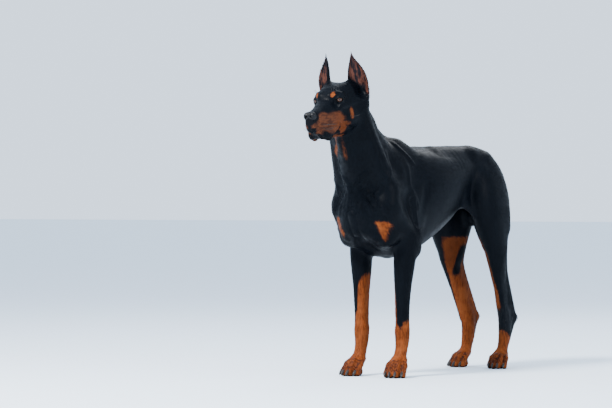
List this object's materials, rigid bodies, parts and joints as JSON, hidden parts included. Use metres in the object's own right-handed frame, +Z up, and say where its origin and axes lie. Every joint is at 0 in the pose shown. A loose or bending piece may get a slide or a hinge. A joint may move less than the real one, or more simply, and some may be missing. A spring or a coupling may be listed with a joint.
{
  "type": "doberman pinscher dog",
  "caption": "Life-size dog standing square and alert: deep chest, tucked belly, long wedge-shaped head and upright pointed ears, short black coat with rust markings.",
  "frame": {"origin": "middle of the whole dog's bounding box, on the floor under it", "axes": "the dog faces -Y, its left side is +X and +Z is up"},
  "size_m": [0.2544, 1.0144, 0.9429],
  "materials": {
    "black_coat": "short dense glossy black coat, lying flat",
    "rust_coat": "short rust-brown coat of the lower legs and feet",
    "ear_skin": "thinly haired skin, brownish pink inside the ear",
    "eye_brown": "wet, dark brown",
    "nose_leather": "moist black pebbled skin"
  },
  "bodies": {
    "root": {"torso": "black_coat", "neck": "black_coat", "head": "black_coat", "nose": "nose_leather", "tail": "black_coat", "ear_left": "ear_skin", "eye_left": "eye_brown", "foreleg_left": "black_coat", "forepaw_left": "rust_coat", "hindleg_left": "black_coat", "hindpaw_left": "rust_coat", "ear_right": "ear_skin", "eye_right": "eye_brown", "foreleg_right": "black_coat", "forepaw_right": "rust_coat", "hindleg_right": "black_coat", "hindpaw_right": "rust_coat"}
  },
  "joints": []
}
